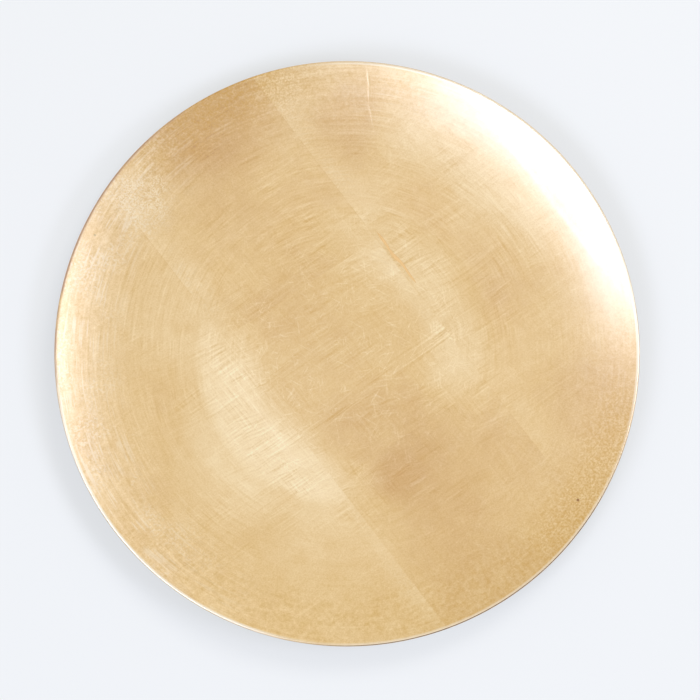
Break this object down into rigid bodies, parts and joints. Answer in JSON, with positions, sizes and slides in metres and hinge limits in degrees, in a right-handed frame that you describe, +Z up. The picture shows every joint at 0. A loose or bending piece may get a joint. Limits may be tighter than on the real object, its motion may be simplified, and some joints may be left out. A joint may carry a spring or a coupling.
{
  "type": "charger plate",
  "caption": "Round shallow charger plate laid with gold-coloured leaf, with a broad upturned rim and a low foot ring, set under a dinner plate.",
  "frame": {"origin": "centre of the plane that the foot ring stands on", "axes": "+Z up out of the dish, +X and +Y across the plate, with the leaf's long seams running from -X +Y to +X -Y"},
  "size_m": [0.33, 0.33, 0.0221],
  "materials": {
    "wood_fibre": "sealed turned fibreboard",
    "foot_lacquer": "dark satin lacquer on a turned ring",
    "red_ground": "red-brown lacquer ground",
    "back_lacquer": "dark satin lacquer",
    "gold_leaf": "gold-coloured metal leaf, rubbed down and lacquered"
  },
  "bodies": {
    "root": {"plate_core": "wood_fibre", "foot_ring": "foot_lacquer", "ground_coat": "red_ground", "back_coat": "back_lacquer", "leaf_a1": "gold_leaf", "leaf_a2": "gold_leaf", "leaf_b1": "gold_leaf", "leaf_b2": "gold_leaf", "leaf_b3": "gold_leaf", "leaf_c1": "gold_leaf", "leaf_c2": "gold_leaf", "leaf_c3": "gold_leaf", "leaf_c4": "gold_leaf", "leaf_d1": "gold_leaf", "leaf_d2": "gold_leaf", "leaf_d3": "gold_leaf", "leaf_e1": "gold_leaf", "leaf_e2": "gold_leaf"}
  },
  "joints": []
}
